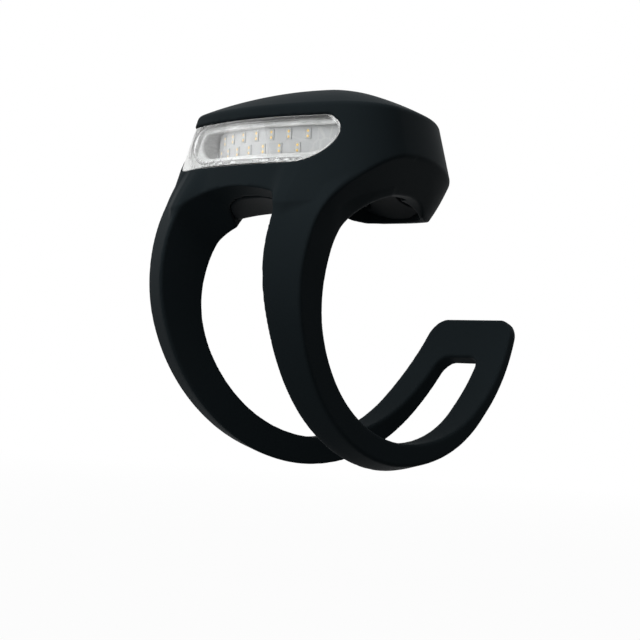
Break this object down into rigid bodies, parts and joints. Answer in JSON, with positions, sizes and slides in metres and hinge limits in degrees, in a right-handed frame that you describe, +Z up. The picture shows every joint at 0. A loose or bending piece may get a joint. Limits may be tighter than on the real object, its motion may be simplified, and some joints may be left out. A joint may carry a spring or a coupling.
{
  "type": "bicycle tail light",
  "caption": "Rear light in a silicone case with a wide curved window and two legs that hook round a bar",
  "frame": {"origin": "on the axis of the bar that the light hooks round, in the light's mirror plane", "axes": "+Y along the bar, -X the way the window looks, +Z up through the head; +X is the hook's tip side"},
  "size_m": [0.0464, 0.0378, 0.0473],
  "materials": {
    "silicone": "matt moulded silicone",
    "window": "clear polished",
    "seal_rubber": "soft matt",
    "shell_plastic": "fine spark texture",
    "cover_plastic": "fine spark texture",
    "white_board": "white solder mask",
    "green_board": "green solder mask",
    "led_ceramic": "moulded white",
    "led_phosphor": "yellow phosphor gel",
    "screw_steel": "zinc plated",
    "cell_foil": "laminated foil pouch",
    "foam": "closed-cell foam",
    "lead_red": "insulated wire",
    "lead_black": "insulated wire",
    "socket_steel": "nickel plated",
    "black_plastic": "moulded",
    "switch_plastic": "moulded",
    "plunger_plastic": "moulded natural",
    "ferrite": "sintered ferrite",
    "ceramic": "fired ceramic"
  },
  "bodies": {
    "housing": {"silicone_body": "silicone", "lens": "window", "lens_seal": "seal_rubber", "top_shell": "shell_plastic", "base_cover": "cover_plastic", "base_seal": "seal_rubber", "lamp_board": "white_board", "led_packages": "led_ceramic", "led_emitters": "led_phosphor", "lamp_bezel": "white_board", "lamp_carrier": "black_plastic", "lamp_header": "black_plastic", "main_board": "green_board", "cover_screw_left": "screw_steel", "cover_screw_right": "screw_steel", "board_screw_left": "screw_steel", "board_screw_right": "screw_steel", "battery_cell": "cell_foil", "battery_tape": "foam", "lead_positive": "lead_red", "lead_negative": "lead_black", "socket_shield": "socket_steel", "socket_tongue": "black_plastic", "switch_body": "switch_plastic", "button_seal": "seal_rubber", "controller_chip": "black_plastic", "charge_chip": "black_plastic", "boost_inductor": "ferrite", "board_passives": "ceramic"},
    "strap": {"silicone_strap": "silicone"},
    "button": {"button_plunger": "plunger_plastic", "switch_stem": "plunger_plastic"}
  },
  "joints": [
    {"name": "strap_opening", "type": "hinge", "parent": "housing", "child": "strap", "pos_m": [-0.0217, 0, -0.001], "axis": [0, 1, 0], "range_deg": [0, 24], "stiffness_Nm_per_rad": 0.25},
    {"name": "button_press", "type": "slide", "parent": "housing", "child": "button", "axis": [0, 0, -1], "range_m": [0, 0.0003], "stiffness_N_per_m": 2000}
  ]
}
